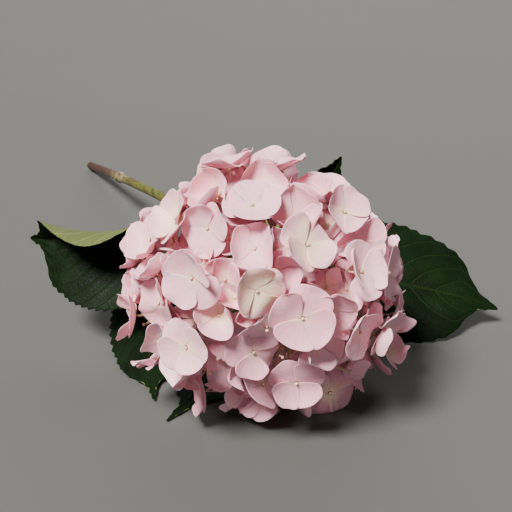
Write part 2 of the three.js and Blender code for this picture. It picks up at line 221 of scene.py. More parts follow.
class FloretSettings(bpy.types.PropertyGroup):
    """The sepals, beads and stalks of the florets."""

    width: length_setting("Width", "Across the four sepals", 32)
    lift: length_setting("Lift", "How far a floret stands out of the head or in", 4)
    thickness: length_setting("Thickness", "Thickness of a sepal", 0.35)
    bead: length_setting("Bead", "Diameter of the bud at a floret's centre", 2.7)
    stalk: length_setting("Stalk", "Diameter of a floret's stalk", 1.6)
    cream: colour_setting("Cream", "The claw of a sepal", (1.0, 0.68, 0.50))
    blush: colour_setting("Blush", "The blade of a pale sepal", (0.94, 0.57, 0.63))
    rose: colour_setting("Rose", "The blade of a pink sepal", (0.84, 0.40, 0.49))


class LeafSettings(bpy.types.PropertyGroup):
    """The blades and stalks of the leaves."""

    thickness: length_setting("Thickness", "Thickness of a blade", 0.5)
    petiole: length_setting("Petiole", "Diameter of a leaf's stalk", 3.4)
    tooth_depth: length_setting("Tooth depth", "Depth of the margin's teeth", 3.2)
    teeth: bpy.props.IntProperty(
        name="Teeth", description="Teeth on each side of a blade", default=22, min=1
    )
    glossy: colour_setting("Glossy face", "The upper face of a blade", (0.0015, 0.0055, 0.001))
    pale: colour_setting("Pale face", "The lower face of a blade", (0.08, 0.10, 0.025))


class StemSettings(bpy.types.PropertyGroup):
    """The stem and the branches inside the head."""

    diameter: length_setting("Diameter", "Thickness of the stem", 7.7)
    reach: length_setting("Reach", "Hub of the branches to the cut end", 426)
    bow: length_setting("Bow", "How far the stem bows upwards at half its length", 4)
    swell: length_setting("Swell", "How far the stem stands out at a node", 1.5)
    green: colour_setting("Green", "The young stem near the head", (0.11, 0.14, 0.025))
    bark: colour_setting("Bark", "The old stem near the cut end", (0.045, 0.016, 0.011))


class StageSettings(bpy.types.PropertyGroup):
    """The table and its light."""

    floor: colour_setting("Floor", "The pale table", (0.075, 0.075, 0.071))
    key: bpy.props.FloatProperty(
        name="Key light",
        description="Strength of the light from the upper left",
        default=9.6,
        min=0,
    )
    fill: share_setting("Fill light", "Strength of the light from all round", 0.18)


# ---- Numbers and curves ------------------------------------------------------------------
class Draw:
    """What a chance number is used for. Each use has numbers of its own."""

    TILT = (1, 2, 3)
    WIDTH = 4
    SPIN = 5
    CUP = 6
    LIFT = 7
    LOOSENESS = (4.3, 5.3, 6.3)
    DEEPER_CUP = 7.3
    TUCK = 8
    TINT = 9
    SEPAL_SHAPE = 10
    SEPAL_TINT = 50
    CREAM = 60
    OPENNESS = 61


def chance(index, kind):
    """A repeatable number from 0 to 1 for one floret and one use."""
    value = math.sin(index * 12.9898 + kind * 78.233) * 43758.5453
    return value - math.floor(value)


def chance_way(index, kinds):
    """A repeatable short vector in any direction, for one floret."""
    return Vector([chance(index, kind) - 0.5 for kind in kinds])


def blend(low, high, share):
    """The number or place that lies a share of the way from low to high."""
    return low + (high - low) * share


def ease(value, start, end):
    """Rises smoothly from 0 at start to 1 at end."""
    share = min(max((value - start) / (end - start), 0), 1)
    return share * share * (3 - 2 * share)


def bump(value, centre, width):
    """A smooth hump of height 1 at the centre."""
    return math.exp(-(((value - centre) / width) ** 2))


def bezier(corners, share):
    """The place on a cubic curve, and its direction there."""
    a, b, c, d = corners
    rest = 1 - share
    place = a * rest**3 + b * (3 * rest**2 * share) + c * (3 * rest * share**2) + d * share**3
    along = (b - a) * rest**2 + (c - b) * (2 * rest * share) + (d - c) * share**2
    return place, along.normalized()


# ---- Mesh tools --------------------------------------------------------------------------
def add_rod(bm, route, radius, rings, sides, material=0):
    """Adds a closed tube.

    route(share) is its middle line and radius(share, angle) its radius.
    """
    standing = len(bm.verts)
    cone = bmesh.ops.create_cone(
        bm, cap_ends=True, segments=sides, radius1=1, radius2=1, depth=1
    )
    lengthwise = []
    for edge in dict.fromkeys(edge for vert in cone["verts"] for edge in vert.link_edges):
        if abs(edge.verts[0].co.z - edge.verts[1].co.z) > 0.5:
            lengthwise.append(edge)
    bmesh.ops.subdivide_edges(bm, edges=lengthwise, cuts=rings - 1)
    verts = bm.verts[:][standing:]
    step = 0.25 / rings
    frames = {}
    for vert in verts:
        share = min(max(vert.co.z + 0.5, 0), 1)
        key = round(share * rings)
        if key not in frames:
            low, high = max(share - step, 0), min(share + step, 1)
            frames[key] = (route(share), (route(high) - route(low)).normalized())
        place, along = frames[key]
        reference = Vector((0, 0, 1)) if abs(along.z) < 0.9 else Vector((1, 0, 0))
        across = reference.cross(along).normalized()
        up = along.cross(across)
        wide = radius(share, math.atan2(vert.co.y, vert.co.x))
        vert.co = place + (across * vert.co.x + up * vert.co.y) * wide
    for face in {face for vert in verts for face in vert.link_faces}:
        face.material_index = material


def make_shell(bm, faces, thickness):
    """Gives faces a back at an even depth, in the piece's second finish."""
    shell = bmesh.ops.solidify(bm, geom=faces, thickness=0)
    backs = [part for part in shell["geom"] if isinstance(part, bmesh.types.BMFace)]
    for face in backs:
        face.material_index = 1
        face.normal_update()
    for vert in dict.fromkeys(vert for face in backs for vert in face.verts):
        normals = [face.normal for face in vert.link_faces if face.material_index == 1]
        vert.co += sum(normals, Vector()).normalized() * thickness


def new_piece(name, bm, finishes):
    """Makes an object of a mesh laid out from the plant's origin."""
    bmesh.ops.translate(bm, vec=PLANT_ORIGIN, verts=bm.verts)
    for face in bm.faces:
        face.smooth = True
    mesh = bpy.data.meshes.new(name)
    bm.to_mesh(mesh)
    bm.free()
    for finish in finishes:
        mesh.materials.append(finish)
    piece = bpy.data.objects.new(name, mesh)
    bpy.context.scene.collection.objects.link(piece)
    return piece


def place_piece(piece, node):
    """Rounds a piece and sets it on the plant's body in place of a CAD node."""
    rounding = piece.modifiers.new("Rounding", "SUBSURF")
    rounding.levels = 1
    rounding.render_levels = 1
    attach(piece, "root")
    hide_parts(node)


# ---- Finishes ----------------------------------------------------------------------------
class Finish:
    """A material's nodes, with short calls for the kinds that the finishes use."""

    def __init__(self, name, **surface):
        self.material = bpy.data.materials.new(name)
        self.material.use_nodes = True
        self.tree = self.material.node_tree
        self.shader = self.tree.nodes["Principled BSDF"]
        for socket, value in surface.items():
            self.shader.inputs[socket.replace("_", " ")].default_value = value

    def fill(self, socket, value):
        """Gives a socket a value or a link."""
        if isinstance(value, bpy.types.NodeSocket):
            self.tree.links.new(value, socket)
        else:
            socket.default_value = value

    def add(self, kind, inputs, **settings):
        """Adds a node with its settings and inputs."""
        node = self.tree.nodes.new(kind)
        for name, value in settings.items():
            setattr(node, name, value)
        for name, value in inputs.items():
            self.fill(node.inputs[name], value)
        return node

    def calc(self, operation, *values):
        """One step of arithmetic."""
        inputs = dict(enumerate(values))
        return self.add("ShaderNodeMath", inputs, operation=operation).outputs[0]

    def rise(self, value, start, end):
        """Rises smoothly from 0 at start to 1 at end."""
        inputs = {"Value": value, "From Min": start, "From Max": end}
        node = self.add("ShaderNodeMapRange", inputs, interpolation_type="SMOOTHSTEP")
        return node.outputs["Result"]

    def mix(self, factor, low, high):
        """A colour between two colours."""
        node = self.add("ShaderNodeMix", {}, data_type="RGBA")
        for index, value in ((0, factor), (6, low), (7, high)):
            self.fill(node.inputs[index], value)
        return node.outputs[2]

    def noise(self, coordinates, scale, detail=3):
        """Soft mottling from 0 to 1."""
        inputs = {"Vector": coordinates, "Scale": scale, "Detail": detail}
        return self.add("ShaderNodeTexNoise", inputs).outputs["Fac"]

    def coordinates(self):
        """Object coordinates, in metres."""
        return self.add("ShaderNodeTexCoord", {}).outputs["Object"]

    def surface_map(self):
        """The two values of the piece's own UV map."""
        uv = self.add("ShaderNodeUVMap", {}, uv_map="surface").outputs["UV"]
        split = self.add("ShaderNodeSeparateXYZ", {"Vector": uv})
        return split.outputs["X"], split.outputs["Y"]

    def attribute(self, name):
        """A number that the mesh carries."""
        return self.add("ShaderNodeAttribute", {}, attribute_name=name).outputs["Fac"]

    def relief(self, height, strength, depth):
        """Gives the surface relief."""
        inputs = {"Height": height, "Strength": strength, "Distance": depth}
        node = self.add("ShaderNodeBump", inputs)
        self.fill(self.shader.inputs["Normal"], node.outputs["Normal"])

    def colour(self, value):
        """Sets the surface's colour."""
        self.fill(self.shader.inputs["Base Color"], value)


def rgba(colour, factor=1.0):
    """A colour setting as a node's colour, made lighter or darker."""
    return (*(min(channel * factor, 1) for channel in colour), 1)


# A sepal's veins fan out from a point behind its claw.
FAN_ROOT = 0.25
FAN_VEINS = 34
FAN_WANDER = 0.35


def sepal_finish(name, florets, painted_shade_rose, vein_depth):
    """Blush petal with a creamy claw, fan veins and a soft glow, with a deeper rose added as
    painted shade.
    """
    look = Finish(
        name,
        Roughness=0.5,
        Subsurface_Weight=0.45,
        Subsurface_Scale=0.6 * MM,
        Subsurface_Radius=(1.0, 0.45, 0.4),
        Specular_IOR_Level=0.35,
        Sheen_Weight=0.08,
    )
    across, along = look.surface_map()
    tint = look.attribute("tint")
    place = look.coordinates()
    sideways = look.calc("SUBTRACT", across, 0.5)
    fan = look.calc("ARCTAN2", sideways, look.calc("ADD", along, FAN_ROOT))
    wander = look.calc("MULTIPLY", look.noise(place, 260), FAN_WANDER)
    spokes = look.calc("MULTIPLY", look.calc("ADD", fan, wander), FAN_VEINS)
    spokes = look.calc("SINE", spokes)
    veins = look.rise(spokes, 0.55, 1)
    mottle = look.noise(place, 55, 4)
    patches = look.calc("MULTIPLY", look.calc("SUBTRACT", mottle, 0.5), 0.7)
    # Painted shade: the backs are made pinker, standing in for the deep rose of the shaded
    # crevices.
    rosy = look.calc("ADD", look.calc("MULTIPLY", tint, 0.75), painted_shade_rose)
    rosy = look.calc("ADD", rosy, patches)
    rosy = look.calc("ADD", rosy, look.calc("MULTIPLY", veins, 0.10))
    blade = look.mix(look.rise(rosy, 0, 1.2), rgba(florets.blush), rgba(florets.rose))
    claw = look.calc("ADD", along, look.calc("MULTIPLY", look.attribute("warmth"), -0.45))
    look.colour(look.mix(look.rise(claw, -0.3, 0.3), rgba(florets.cream), blade))
    grain = look.noise(place, 1400, 2)
    height = look.calc("ADD", look.calc("MULTIPLY", veins, -0.6), look.calc("MULTIPLY", grain, 0.4))
    look.relief(height, vein_depth, 0.15 * MM)
    return look.material


def bead_finish(florets):
    """Pale waxy bud."""
    look = Finish("bead", Roughness=0.4, Subsurface_Weight=0.3, Subsurface_Scale=0.6 * MM)
    mottle = look.noise(look.coordinates(), 700)
    look.colour(look.mix(mottle, (0.62, 0.42, 0.24, 1), rgba(florets.cream)))
    return look.material


def stalk_finish(name, young, ripe):
    """Fleshy stalk, mottled between two colours."""
    look = Finish(name, Roughness=0.45, Subsurface_Weight=0.2, Subsurface_Scale=0.6 * MM)
    mottle = look.noise(look.coordinates(), 160, 4)
    look.colour(look.mix(look.rise(mottle, 0.35, 0.7), young, ripe))
    look.relief(look.noise(look.coordinates(), 1800), 0.3, 0.1 * MM)
    return look.material


# The side veins of a blade, in its finishes and in its relief alike.
VEIN_SLANT = 0.20
VEIN_CURVE = 0.12
VEIN_ROWS = 10
VEIN_PHASE = 0.35


def blade_nodes(look):
    """Vein masks of a blade: the midrib, the side veins and the fine net between them."""
    along, across = look.surface_map()
    aside = look.calc("ABSOLUTE", look.calc("SUBTRACT", look.calc("MULTIPLY", across, 2), 1))
    place = look.coordinates()
    lag = look.calc("MULTIPLY", look.calc("POWER", aside, 2), VEIN_CURVE)
    lag = look.calc("ADD", lag, look.calc("MULTIPLY", aside, VEIN_SLANT))
    row = look.calc("MULTIPLY", look.calc("SUBTRACT", along, lag), VEIN_ROWS)
    row = look.calc("ADD", row, look.calc("MULTIPLY", look.noise(place, 60), 0.25))
    off_vein = look.calc("PINGPONG", look.calc("ADD", row, VEIN_PHASE), 0.5)
    side_veins = look.calc("SUBTRACT", 1, look.rise(off_vein, 0.0, 0.07))
    midrib = look.calc("SUBTRACT", 1, look.rise(aside, 0.0, 0.045))
    net = look.add(
        "ShaderNodeTexVoronoi", {"Vector": place, "Scale": 420}, feature="DISTANCE_TO_EDGE"
    ).outputs["Distance"]
    net = look.calc("SUBTRACT", 1, look.rise(net, 0.0, 0.14))
    veins = look.calc("MAXIMUM", midrib, side_veins)
    return place, veins, net


def glossy_leaf_finish(leaves):
    """Dark glossy upper face with impressed, slightly paler veins."""
    look = Finish("leaf_glossy", Roughness=0.5, Specular_IOR_Level=0.06)
    place, veins, net = blade_nodes(look)
    mottle = look.rise(look.noise(place, 45, 5), 0.3, 0.75)
    green = look.mix(mottle, rgba(leaves.glossy), rgba(leaves.glossy, 2.2))
    net_green, vein_green = (0.006, 0.014, 0.003, 1), (0.013, 0.024, 0.005, 1)
    green = look.mix(look.calc("MULTIPLY", net, 0.15), green, net_green)
    look.colour(look.mix(look.calc("MULTIPLY", veins, 0.4), green, vein_green))
    height = look.calc("ADD", look.calc("MULTIPLY", veins, -1), look.calc("MULTIPLY", net, -0.3))
    look.relief(height, 0.6, 0.5 * MM)
    return look.material


def pale_leaf_finish(leaves):
    """Matt pale lower face with raised veins."""
    look = Finish("leaf_pale", Roughness=0.6, Specular_IOR_Level=0.3)
    place, veins, net = blade_nodes(look)
    mottle = look.noise(place, 45, 5)
    green = look.mix(mottle, rgba(leaves.pale, 0.8), rgba(leaves.pale, 1.25))
    vein_green = (0.19, 0.22, 0.08, 1)
    look.colour(look.mix(look.calc("MULTIPLY", veins, 0.6), green, vein_green))
    height = look.calc("ADD", veins, look.calc("MULTIPLY", net, 0.3))
    look.relief(height, 0.6, 0.5 * MM)
    return look.material


def stem_finish(stem):
    """Olive green near the head, a pale swollen ring, then old brown bark."""
    look = Finish("stem_bark", Roughness=0.5, Specular_IOR_Level=0.4)
    along, _ = look.surface_map()
    place = look.coordinates()
    mottle = look.noise(place, 90, 5)
    wander = look.calc("MULTIPLY", look.calc("SUBTRACT", mottle, 0.5), 0.16)
    drift = look.calc("ADD", along, wander)
    ramp = look.add("ShaderNodeValToRGB", {"Fac": drift})
    stops = (
        (0.0, rgba(stem.green)),
        (0.55, (0.10, 0.11, 0.018, 1)),
        (0.66, (0.11, 0.10, 0.022, 1)),
        (0.71, (0.30, 0.24, 0.13, 1)),
        (0.76, (0.13, 0.085, 0.035, 1)),
        (0.84, (0.055, 0.028, 0.015, 1)),
        (1.0, rgba(stem.bark)),
    )
    while len(ramp.color_ramp.elements) < len(stops):
        ramp.color_ramp.elements.new(0.5)
    for element, (position, colour) in zip(ramp.color_ramp.elements, stops):
        element.position = position
        element.color = colour
    stretched = look.add("ShaderNodeMapping", {"Vector": place, "Scale": (1, 0.22, 1)})
    specks = look.noise(stretched.outputs["Vector"], 420, 3)
    specks = look.calc("MULTIPLY", look.rise(specks, 0.56, 0.64), 0.8)
    streaks = look.noise(stretched.outputs["Vector"], 260, 4)
    streaks = look.rise(streaks, 0.35, 0.75)
    base = look.mix(look.calc("MULTIPLY", streaks, 0.55), ramp.outputs["Color"], rgba(stem.bark))
    look.colour(look.mix(specks, base, (0.035, 0.018, 0.008, 1)))
    look.relief(look.calc("ADD", streaks, specks), 0.5, 0.25 * MM)
    return look.material


def cut_finish(name, light, dark):
    """Freshly cut wood or pith."""
    look = Finish(name, Roughness=0.7)
    grain = look.noise(look.coordinates(), 2200, 3)
    look.colour(look.mix(grain, dark, light))
    look.relief(grain, 0.4, 0.2 * MM)
    return look.material


# ---- Stem --------------------------------------------------------------------------------
# The hub is where the stem ends in the head and its branches divide. The nodes are measured
# from it along the stem.
HUB_BEHIND = 30 * MM
HUB_HEIGHT = 95 * MM
HUB_DIAMETER = 13 * MM
UPPER_NODE = 70 * MM
LOWER_NODE = 105 * MM
OLD_NODE = 310 * MM
CLEARANCE = 0.3 * MM

# Each node swells, with a leaf scar beyond it. Ribs and lumps are shares of the radius.
NODE_LENGTH = 4.5 * MM
SCAR_OFFSET = 5.5 * MM
SCAR_LENGTH = 1.2 * MM
SCAR_DEPTH = 0.35
RIBS = 6
RIB_HEIGHT = 0.012
LUMP_HEIGHT = 0.05
STEM_RINGS = 170
STEM_SIDES = 20

# The steps of the cut end, from its rim inwards: width, depth and finish.
CUT_STEPS = (
    (0.55 * MM, -0.15 * MM, 1),
    (1.3 * MM, 0, 2),
    (0.3 * MM, -0.5 * MM, 2),
)
BUD_RADIUS = 1.3 * MM
BUD_LENGTH = 2.6 * MM
BUD_STANDS_OUT = 1.0 * MM


def stem_point(stem, reach):
    """The middle of the stem at a distance from the hub, measured along Y."""
    share = reach / stem.reach
    height = blend(HUB_HEIGHT, stem.diameter / 2, share) + stem.bow * math.sin(math.pi * share)
    return Vector((0, HUB_BEHIND + reach, height))


def build_stem(stem):
    """The stem with its swollen nodes, ribs, buds and cut end."""
    start = HUB_DIAMETER / 2 + CLEARANCE

    def route(share):
        return stem_point(stem, blend(start, stem.reach, share))

    def radius(share, angle):
        reach = blend(start, stem.reach, share)
        swell = 0
        for node in (UPPER_NODE, LOWER_NODE, OLD_NODE):
            swell += bump(reach, node, NODE_LENGTH)
            swell -= SCAR_DEPTH * bump(reach, node + SCAR_OFFSET, SCAR_LENGTH)
        ribs = RIB_HEIGHT * math.cos(RIBS * angle + 4 * share)
        around = Vector((math.cos(angle), math.sin(angle), share * 38))
        lumps = LUMP_HEIGHT * noise.noise(around)
        return stem.diameter / 2 * (0.98 + ribs + lumps) + stem.swell * swell

    bm = bmesh.new()
    add_rod(bm, route, radius, STEM_RINGS, STEM_SIDES)
    far_end = route(1)
    cut = min(bm.faces, key=lambda face: (face.calc_center_median() - far_end).length)
    for width, depth, finish in CUT_STEPS:
        bmesh.ops.inset_region(bm, faces=[cut], thickness=width, depth=depth)
        cut.material_index = finish
    write_tube_map(bm, stem)
    for side in (-1, 1):
        add_bud(bm, stem, OLD_NODE, side)
        add_bud(bm, stem, UPPER_NODE, side)
    return bm


def write_tube_map(bm, stem):
    """Writes how far along the stem and round it each point lies."""
    layer = bm.loops.layers.uv.new("surface")
    for face in bm.faces:
        for loop in face.loops:
            place = loop.vert.co
            along = (place.y - HUB_BEHIND) / stem.reach
            middle = stem_point(stem, place.y - HUB_BEHIND)
            around = math.atan2(place.x, place.z - middle.z) / (2 * math.pi)
            loop[layer].uv = (along, abs(around) * 2)


def add_bud(bm, stem, node, side):
    """A dormant bud over a leaf scar, on one side of a node."""
    sphere = bmesh.ops.create_icosphere(bm, subdivisions=2, radius=1)
    base = stem_point(stem, node - 2 * MM)
    along = (stem_point(stem, node - 10 * MM) - stem_point(stem, node)).normalized()
    out = Vector((side, 0, 0))
    thick = Vector((0, 0, 1))
    for vert in sphere["verts"]:
        x, y, z = vert.co
        taper = ease(z, 0, 1)
        wide = BUD_RADIUS * (1 - 0.75 * taper)
        vert.co = (
            base
            + out * (stem.diameter / 2 + BUD_STANDS_OUT + x * wide)
            + thick * (y * wide * 1.3)
            + along * (BUD_LENGTH * (z + 0.6 * taper))
        )


# ---- Flower head -------------------------------------------------------------------------
MAIN_BRANCHES = 9
BRANCH_WRAP = 0.8
LOBE_REACH = 0.2


class Head:
    """The rounded surface near which the florets' centres lie."""

    def __init__(self, sizes, stem):
        self.sizes = sizes
        self.hub = stem_point(stem, 0)
        self.middle = Vector((sizes.lean, 0, sizes.middle_height))
        self.half_height = sizes.height - sizes.middle_height
        self.shoulder = Vector((0.76, 0, 0.64)).normalized()
        self.hip = Vector((-0.6, -0.45, -0.66)).normalized()
        axis = self.hub - stem_point(stem, UPPER_NODE)
        self.turn = Vector((0, 0, 1)).rotation_difference(axis)
        wrap = sizes.wrap * BRANCH_WRAP
        self.lobes = [self.spiral(index, MAIN_BRANCHES, wrap) for index in range(MAIN_BRANCHES)]

    def depth(self, direction):
        """Middle to surface, forwards or backwards."""
        return self.sizes.front if direction.y < 0 else self.sizes.back

    def spiral(self, index, count, wrap):
        """The direction of one place on a spiral that winds back from the front pole."""
        height = 1 - ((index + 0.5) / count) * (1 - math.cos(wrap))
        ring = math.sqrt(1 - height * height)
        turn = index * GOLDEN_ANGLE
        return self.turn @ Vector((ring * math.cos(turn), ring * math.sin(turn), height))

    def lobe_of(self, direction):
        """The middle of the lobe that a direction falls in."""
        return max(self.lobes, key=lambda lobe: lobe.dot(direction))

    def surface(self, direction):
        """The head's surface in a direction from its middle."""
        fall = (1 - self.lobe_of(direction).dot(direction)) / LOBE_REACH
        flattening = 1 + self.sizes.lobe_swell * max(1 - 2 * fall, -1)
        flattening -= self.sizes.shoulder_drop * max(0, direction.dot(self.shoulder)) ** 4
        flattening -= self.sizes.hip_drop * max(0, direction.dot(self.hip)) ** 4
        undercut = 1 - self.sizes.undercut * max(0, -direction.z)
        reach = Vector((
            direction.x * self.sizes.width / 2,
            direction.y * self.depth(direction) * undercut,
            direction.z * self.half_height,
        ))
        return self.middle + reach * flattening

    def normal(self, direction):
        """The way that the surface faces, splayed away from the middle of its lobe."""
        lobe = self.lobe_of(direction)
        splay = direction - lobe * lobe.dot(direction)
        facing = Vector((
            direction.x * 2 / self.sizes.width,
            direction.y / self.depth(direction),
            direction.z / self.half_height,
        )).normalized()
        return (facing + splay * self.sizes.lobe_splay).normalized()


# The crown behind and the upper right of the head have settled inwards, each by its depth.
SETTLED_PARTS = (
    (Vector((0, 0.7, 0.714)), 10 * MM),
    (Vector((0.76, 0.05, 0.648)), 14 * MM),
)
LEAF_BED = 4.8 * MM
BED_EDGE = -14 * MM

# Florets whose direction is lower than the first value turn upwards, and those lower than
# the second are open.
SKIRT_TOP = 0.1
SKIRT_EDGE = -0.3
SKIRT_TURN = 0.8

# How far chance turns the florets, cups some of them deeper, leaves some open and colours
# them.
FLORET_TILT = 0.5
FLORET_LOOSENESS = 1.1
DEEPER_CUP = 0.25
DEEPER_CUP_SHARE = 0.35
OPEN_SHARE = 0.3
TINT_SPREAD = 0.8
SEPAL_TINT_SPREAD = 0.3
CREAM_SPREAD = 0.7

# The inner florets are numbered from here on; their deeper rose is painted shade of the recesses.
FIRST_INNER = 500
INNER_PAINTED_SHADE = 0.3


def floor_under(place):
    """The florets' floor: the table, or the leaves that lie on it behind an edge."""
    return LEAF_BED if place.y > BED_EDGE else 0


class Floret:
    """Four sepals round a bead, facing out of the head."""

    def __init__(self, index, head, direction, width, spin, cup, lift):
        normal = head.normal(direction)
        self.index = index
        depths = [depth * max(0, direction.dot(way)) ** 4 for way, depth in SETTLED_PARTS]
        self.sunk = normal * sum(depths)
        self.centre = head.surface(direction) + normal * lift
        self.centre.z = max(self.centre.z, floor_under(self.centre) + width / 6)
        normal += chance_way(index, Draw.TILT) * FLORET_TILT
        shown = index < len(SHOWN_FLORETS)
        if not shown:
            normal += chance_way(index, Draw.LOOSENESS) * FLORET_LOOSENESS
            normal.z += SKIRT_TURN * max(0, SKIRT_TOP - direction.z)
            if chance(index, Draw.DEEPER_CUP) > 1 - DEEPER_CUP_SHARE:
                cup += DEEPER_CUP
        self.normal = normal.normalized()
        level = Vector((0, 0, 1)).cross(self.normal).normalized()
        self.across = Matrix.Rotation(spin, 3, self.normal) @ level
        self.up = self.normal.cross(self.across)
        self.outward = (self.centre - head.hub).normalized()
        self.cup = cup
        self.radius = width / 2
        self.rank = lift
        self.tint = TINT_SPREAD * chance(index, Draw.TINT)
        self.warmth = CREAM_SPREAD * chance(index, Draw.CREAM) ** 2
        low = direction.z < SKIRT_EDGE
        self.open = shown or low or chance(index, Draw.OPENNESS) < OPEN_SHARE
        self.covers = []
        self.meets = []

    def height_over(self, place):
        """How far a place lies over the floret's plane, and how far out from its centre."""
        reach = place - self.centre
        height = reach.dot(self.normal)
        return height, (reach - self.normal * height).length


def shown_direction(azimuth, elevation):
    """A direction out of the head, from two angles in degrees."""
    around, up = math.radians(azimuth), math.radians(elevation)
    return Vector((
        math.sin(around) * math.cos(up),
        -math.cos(around) * math.cos(up),
        math.sin(up),
    ))


def place_florets(head, sizes):
    """Sets out all the florets of the head."""
    florets = []
    for index, (azimuth, elevation, width, spin, cup, cream) in enumerate(SHOWN_FLORETS):
        direction = shown_direction(azimuth, elevation)
        turned = math.radians(spin)
        floret = Floret(index, head, direction, width * MM, turned, cup, sizes.lift)
        floret.rank += (len(SHOWN_FLORETS) - index) * MM
        floret.warmth = cream
        florets.append(floret)
    for place in range(head.sizes.places):
        index = len(SHOWN_FLORETS) + place
        direction = head.spiral(place, head.sizes.places, head.sizes.wrap)
        width = sizes.width * (0.9 + 0.25 * chance(index, Draw.WIDTH))
        spin = chance(index, Draw.SPIN) * math.pi
        cup = 0.5 * chance(index, Draw.CUP) - 0.1
        lift = sizes.lift * (2 * chance(index, Draw.LIFT) - 1)
        floret = Floret(index, head, direction, width, spin, cup, lift)
        if min((other.centre - floret.centre).length for other in florets) > head.sizes.spacing:
            florets.append(floret)
    for floret in florets:
        floret.centre -= floret.sunk
    return florets


def place_inner_florets(head, sizes, florets):
    """Sets out the crowded florets that fill the gaps between the outer ones."""
    inner = []
    for place in range(head.sizes.inner_places):
        index = FIRST_INNER + place
        direction = head.spiral(place, head.sizes.inner_places, head.sizes.wrap)
        width = sizes.width * 0.9
        spin = chance(index, Draw.SPIN) * math.pi
        cup = 0.1 + 0.4 * chance(index, Draw.CUP)
        lift = -head.sizes.inner_depth * (0.8 + 0.5 * chance(index, Draw.LIFT))
        floret = Floret(index, head, direction, width, spin, cup, lift)
        floret.centre -= floret.sunk
        nearest = min((other.centre - floret.centre).length for other in florets + inner)
        if nearest > head.sizes.inner_spacing:
            # Painted shade: the recessed inner florets are made a deeper rose.
            floret.tint += INNER_PAINTED_SHADE
            inner.append(floret)
    return inner


class Sprig:
    """A few florets that share one fork."""

    def __init__(self, direction):
        self.direction = direction
        self.florets = []
        self.fork = None
        self.origin = None


# How far the sprigs fork and the main branches end, as shares of the way from the hub out.
FORK_DEPTH = 0.58
BRANCH_DEPTH = 0.24
FORK_KNOB = 4 * MM

# The radii at the start and at the end of a branch.
MAIN_RADII = (2.3 * MM, 1.7 * MM)
SIDE_RADII = (1.3 * MM, 1.1 * MM)


def gather_sprigs(head, florets):
    """Shares the florets out: each goes to the sprig that points nearest to it."""
    sprigs = []
    for index in range(head.sizes.sprigs):
        surface = head.surface(head.spiral(index, head.sizes.sprigs, head.sizes.wrap))
        sprigs.append(Sprig((surface - head.hub).normalized()))
    for floret in florets:
        nearest = max(sprigs, key=lambda sprig: sprig.direction.dot(floret.outward))
        nearest.florets.append(floret)
    return [sprig for sprig in sprigs if sprig.florets]


def main_ends(head):
    """The ends of the main branches, from which the sprigs' branches start."""
    return [blend(head.hub, head.surface(lobe), BRANCH_DEPTH) for lobe in head.lobes]


def route_sprigs(head, sprigs, ends):
    """Sets where each sprig forks and which main branch bears it."""
    for sprig in sprigs:
        middle = sum((floret.centre for floret in sprig.florets), Vector()) / len(sprig.florets)
        sprig.fork = blend(head.hub, middle, FORK_DEPTH)
        sprig.origin = min(ends, key=lambda end: (end - sprig.fork).length)


# Florets are neighbours when their centres are nearer than this share of their radii.
NEAR = 1.1

# Where two neighbours meet, their sepals turn back from each other and stand up.
MEETING_GAP = 0.4 * MM
MEETING_SOFTNESS = 3 * MM
STAND_BACK = 0.92
STAND_OUT = 0.8

# Where one lies over the other, the lower one's sepals tuck in under its cup.
TUCK_DEPTH = 1.0 * MM
TUCK_RIM = 0.95
TUCK_SLOPE = 1.1

# Near the table, sepals bend flat in two layers.
FLOOR_GAP = 0.45 * MM
LAYER_GAP = 0.25 * MM
FLOOR_SOFTNESS = 4 * MM


def find_neighbours(florets):
    """Lists for each floret the neighbours that lie over it and those that it meets."""
    for floret in florets:
        for other in florets:
            way = other.centre - floret.centre
            if other is floret or way.length > NEAR * (other.radius + floret.radius):
                continue
            if not other.open and not floret.open:
                floret.meets.append((way.normalized(), way.length / 2 - MEETING_GAP))
            elif other.rank > floret.rank:
                floret.covers.append(other)


def stand_up(place, floret):
    """Turns a place of a sepal upwards where the floret meets a neighbour's sepals."""
    soft = MEETING_SOFTNESS
    for way, limit in floret.meets:
        past = (place - floret.centre).dot(way) - limit
        if past > -soft:
            excess = past if past > soft else (past + soft) ** 2 / (4 * soft)
            place = place - way * (STAND_BACK * excess) + floret.normal * (STAND_OUT * excess)
    return place


def tuck_under(place, floret):
    """Bends a place of a sepal under the neighbours that lie over it."""
    for other in floret.covers:
        height, out = other.height_over(place)
        ceiling = other.cup * min(out, other.radius) ** 2 / other.radius - TUCK_DEPTH
        ceiling += max(0, out - TUCK_RIM * other.radius) * TUCK_SLOPE
        if height > ceiling:
            place = place - other.normal * (height - ceiling)
    return place


def rest_on_floor(place, layer):
    """Bends a place that would sink into the table flat onto it."""
    floor = floor_under(place) + FLOOR_GAP + LAYER_GAP * layer
    height = place.z - floor
    if height < FLOOR_SOFTNESS:
        place = place.copy()
        place.z = floor + FLOOR_SOFTNESS * math.exp(height / FLOOR_SOFTNESS - 1)
    return place


# Where a sepal starts and how far it is bent, as shares of the floret's radius. Its neck is
# a share of its width.
SEPAL_START = 0.04
SEPAL_NECK = 0.5
SEPAL_TUCK = 0.05
SEPAL_TROUGH = 0.07
SEPAL_WAVE = 0.22
SEPAL_CELLS = 6


